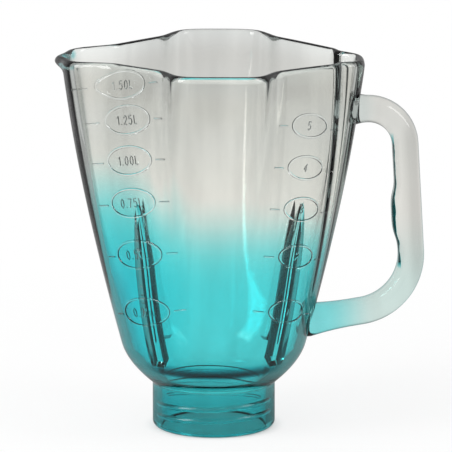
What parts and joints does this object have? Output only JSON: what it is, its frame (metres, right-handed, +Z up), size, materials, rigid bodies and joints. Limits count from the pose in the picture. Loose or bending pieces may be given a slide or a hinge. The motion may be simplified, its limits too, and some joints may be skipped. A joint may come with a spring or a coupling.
{
  "type": "blender jar",
  "caption": "Tapering lobed glass blender jar with a pouring lip, a side handle, inner mixing ribs and an open threaded neck that takes the blade unit.",
  "frame": {"origin": "on the axis of the neck bore, level with the sealing face under the neck", "axes": "+Z up along the axis of the neck bore, -X towards the pouring lip, +X towards the handle"},
  "size_m": [0.2, 0.1628, 0.2063],
  "materials": {
    "glass": "clear pressed glass, colourless at the rim and teal towards the neck"
  },
  "bodies": {
    "root": {"jar": "glass"}
  },
  "joints": []
}
